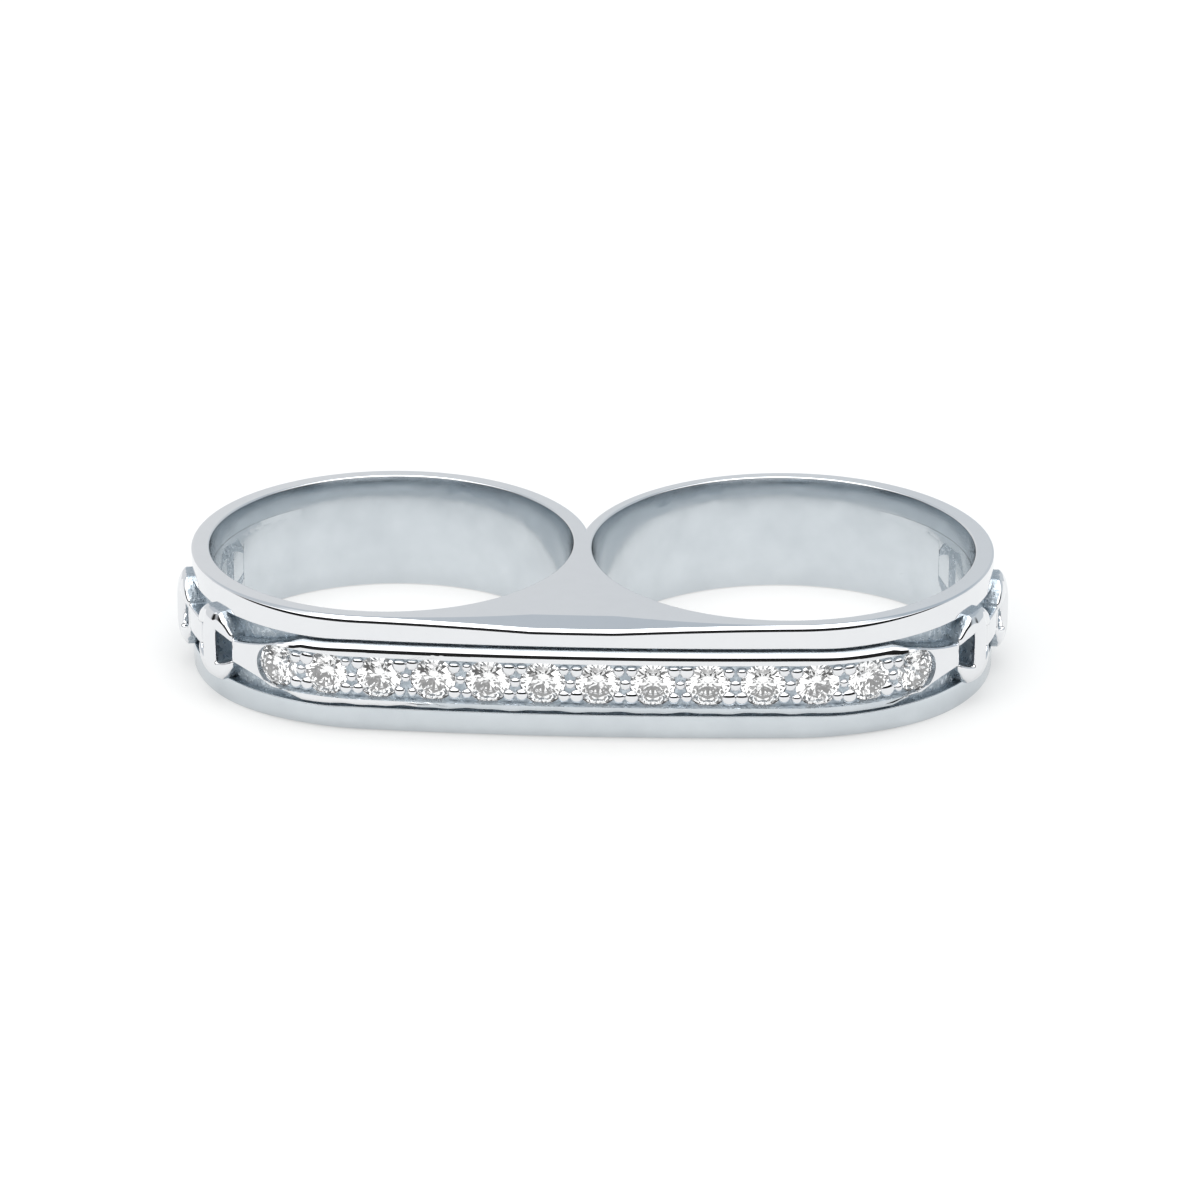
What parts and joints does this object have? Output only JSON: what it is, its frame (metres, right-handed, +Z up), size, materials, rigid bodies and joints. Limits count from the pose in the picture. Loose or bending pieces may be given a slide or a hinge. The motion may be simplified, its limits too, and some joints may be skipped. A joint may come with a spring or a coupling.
{
  "type": "knuckle ring",
  "caption": "Rigid ring for two neighbouring fingers: two loops joined by a bowed front with a raised bar of channel-set round stones and stud-link chain sides.",
  "frame": {"origin": "centre of the bounding box's bottom face, on the surface that the ring lies on", "axes": "+X from the smaller finger hole to the larger one, -Y towards the stones, +Z up along both finger holes"},
  "size_m": [0.04, 0.0206, 0.0058],
  "materials": {
    "white_gold": "mirror-polished white gold",
    "diamond": "clear, polished facets"
  },
  "bodies": {
    "root": {"ring_body": "white_gold", "stone_01": "diamond", "stone_02": "diamond", "stone_03": "diamond", "stone_04": "diamond", "stone_05": "diamond", "stone_06": "diamond", "stone_07": "diamond", "stone_08": "diamond", "stone_09": "diamond", "stone_10": "diamond", "stone_11": "diamond", "stone_12": "diamond", "stone_13": "diamond"}
  },
  "joints": []
}
